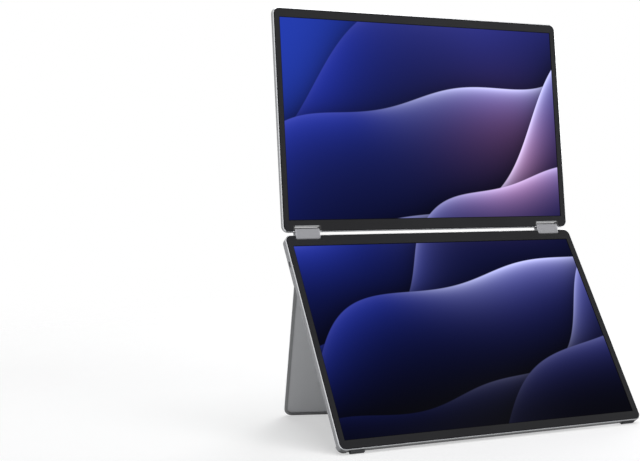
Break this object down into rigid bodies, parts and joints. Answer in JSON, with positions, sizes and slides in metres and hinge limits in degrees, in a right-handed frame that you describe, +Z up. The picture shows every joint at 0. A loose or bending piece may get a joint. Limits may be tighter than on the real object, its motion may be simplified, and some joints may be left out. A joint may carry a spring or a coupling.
{
  "type": "dual portable monitor",
  "caption": "Portable monitor with flat screens joined by a gear-synchronised folding hinge, standing on rubber feet and a kickstand that swings on a slanting axis.",
  "frame": {"origin": "middle of the bounding box's footprint, on the table that the monitor stands on", "axes": "+Z up from the table, -Y out of the screens towards the user, +X to the user's right, where the sockets are"},
  "size_m": [0.3148, 0.1762, 0.3862],
  "materials": {
    "upper_silver": "fine bead-blasted",
    "lower_grey": "fine bead-blasted",
    "stand_grey": "fine bead-blasted",
    "link_grey": "satin",
    "bezel_dark": "matte",
    "screen_glass": "smooth",
    "sheet_metal": "plain sheet",
    "steel": "machined",
    "gear_steel": "cut teeth",
    "socket_metal": "stamped",
    "board_green": "solder mask",
    "chip_black": "moulded",
    "key_silver": "satin",
    "jog_black": "matte",
    "rubber_dark": "matte"
  },
  "bodies": {
    "lower_unit": {"lower_rear_cover": "lower_grey", "lower_bezel": "bezel_dark", "lower_display": "screen_glass", "lower_support_sheet": "sheet_metal", "main_board": "board_green", "board_chips": "chip_black", "board_screws": "steel", "mini_hdmi_socket": "socket_metal", "key_board": "board_green", "key_switches": "chip_black", "jog_bracket": "steel", "lower_leaf_screws": "steel", "knuckle_screws": "steel", "foot_left": "rubber_dark", "foot_right": "rubber_dark", "usb_c_socket_1": "socket_metal", "usb_c_socket_2": "socket_metal", "usb_c_socket_3": "socket_metal", "stand_knuckle_left": "steel", "stand_pin_left": "steel", "stand_knuckle_right": "steel", "stand_pin_right": "steel", "lower_hinge_leaf_left": "steel", "lower_hinge_leaf_right": "steel", "lower_pinion_left": "gear_steel", "lower_pinion_right": "gear_steel"},
    "upper_unit": {"upper_rear_cover": "upper_silver", "upper_bezel": "bezel_dark", "upper_display": "screen_glass", "upper_support_sheet": "sheet_metal", "driver_board": "board_green", "driver_chips": "chip_black", "driver_screws": "steel", "upper_leaf_screws": "steel", "upper_hinge_leaf_left": "steel", "upper_hinge_leaf_right": "steel", "upper_pinion_left": "gear_steel", "upper_pinion_right": "gear_steel"},
    "hinge_links": {"hinge_link_left": "link_grey", "hinge_link_right": "link_grey", "hinge_link_cap_left": "link_grey", "hinge_link_cap_right": "link_grey"},
    "lower_idlers": {"lower_idler_left": "gear_steel", "lower_idler_right": "gear_steel"},
    "upper_idlers": {"upper_idler_left": "gear_steel", "upper_idler_right": "gear_steel"},
    "kickstand": {"kickstand_plate": "stand_grey", "kickstand_strip": "rubber_dark"},
    "power_button": {"power_button": "key_silver"},
    "select_key": {"select_key": "key_silver"},
    "jog_lever": {"jog_lever": "jog_black"}
  },
  "joints": [
    {"name": "link_fold", "type": "hinge", "parent": "lower_unit", "child": "hinge_links", "pos_m": [-0.00012, 0.02973, 0.17369], "axis": [1, 0, 0], "range_deg": [-66, 76.45]},
    {"name": "upper_fold", "type": "hinge", "parent": "hinge_links", "child": "upper_unit", "pos_m": [-0.00012, 0.03242, 0.18102], "axis": [1, 0, 0], "range_deg": [-66, 76.45]},
    {"name": "lower_idler_spin", "type": "hinge", "parent": "hinge_links", "child": "lower_idlers", "pos_m": [-0.00012, 0.03063, 0.17614], "axis": [1, 0, 0], "range_deg": [-66, 76.45]},
    {"name": "upper_idler_spin", "type": "hinge", "parent": "hinge_links", "child": "upper_idlers", "pos_m": [-0.00012, 0.03152, 0.17858], "axis": [1, 0, 0], "range_deg": [-76.45, 66]},
    {"name": "kickstand_swing", "type": "hinge", "parent": "lower_unit", "child": "kickstand", "pos_m": [-0.00012, -0.0186, 0.09618], "axis": [0.9636, -0.1483, -0.2223], "range_deg": [-69.37, 20.63]},
    {"name": "power_press", "type": "slide", "parent": "lower_unit", "child": "power_button", "axis": [-1, 0, 0], "range_m": [0, 0.0004], "stiffness_N_per_m": 1500},
    {"name": "select_press", "type": "slide", "parent": "lower_unit", "child": "select_key", "axis": [-1, 0, 0], "range_m": [0, 0.0004], "stiffness_N_per_m": 1500},
    {"name": "jog_rock", "type": "hinge", "parent": "lower_unit", "child": "jog_lever", "pos_m": [0.15368, -0.03147, 0.08193], "axis": [0, -0.832, 0.5548], "range_deg": [-4, 4], "stiffness_Nm_per_rad": 0.02}
  ],
  "couplings": [
    {"joint": "upper_fold", "follows": "link_fold", "ratio": 1},
    {"joint": "lower_idler_spin", "follows": "link_fold", "ratio": 1},
    {"joint": "upper_idler_spin", "follows": "link_fold", "ratio": -1}
  ]
}
